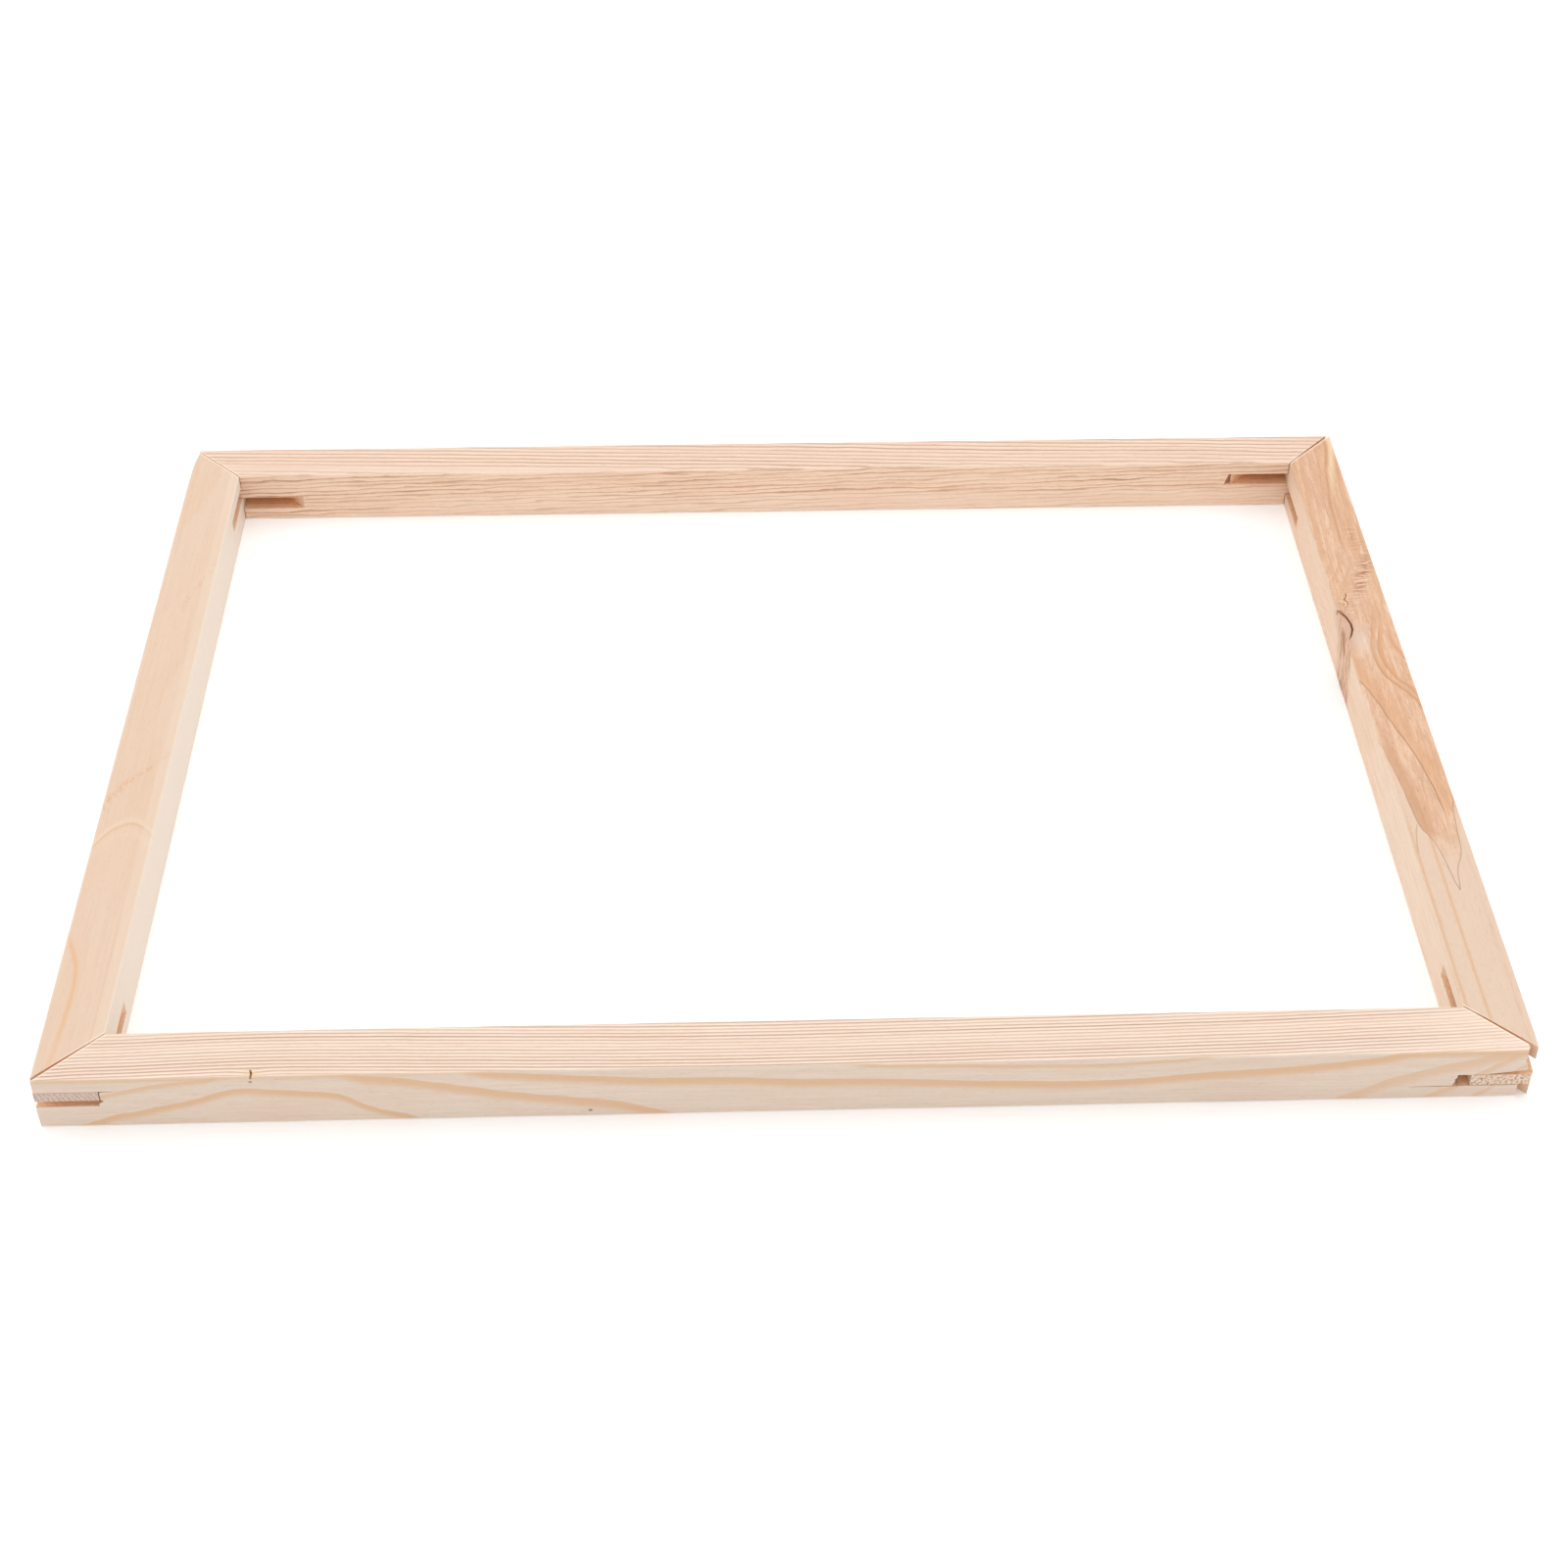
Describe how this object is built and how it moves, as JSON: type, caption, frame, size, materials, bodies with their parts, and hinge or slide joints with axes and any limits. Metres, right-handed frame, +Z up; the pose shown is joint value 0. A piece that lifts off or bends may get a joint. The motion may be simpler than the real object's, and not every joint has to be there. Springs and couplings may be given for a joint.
{
  "type": "screen printing frame",
  "caption": "Bare rectangular softwood screen printing frame: mitred bars joined at the corners by interlocking tongues and slots, with key pockets open to the inside.",
  "frame": {"origin": "middle of the frame's outline, on its underside", "axes": "+X along the front and back bars to the right, +Y along the side bars to the back, +Z up through the bars' thickness"},
  "size_m": [0.4, 0.3, 0.0178],
  "materials": {
    "front_pine": "planed, unfinished, matt",
    "right_pine": "planed, unfinished, matt",
    "back_pine": "planed, unfinished, matt",
    "left_pine": "planed, unfinished, matt"
  },
  "bodies": {
    "front_bar": {"front_bar": "front_pine"},
    "right_bar": {"right_bar": "right_pine"},
    "back_bar": {"back_bar": "back_pine"},
    "left_bar": {"left_bar": "left_pine"}
  },
  "joints": [
    {"name": "left_bar_slip", "type": "slide", "parent": "front_bar", "child": "left_bar", "axis": [-1, 0, 0], "range_m": [0, 0.03]},
    {"name": "right_bar_slip", "type": "slide", "parent": "front_bar", "child": "right_bar", "axis": [1, 0, 0], "range_m": [0, 0.03]},
    {"name": "back_bar_slip", "type": "slide", "parent": "front_bar", "child": "back_bar", "axis": [0, 1, 0], "range_m": [0, 0.03]}
  ]
}
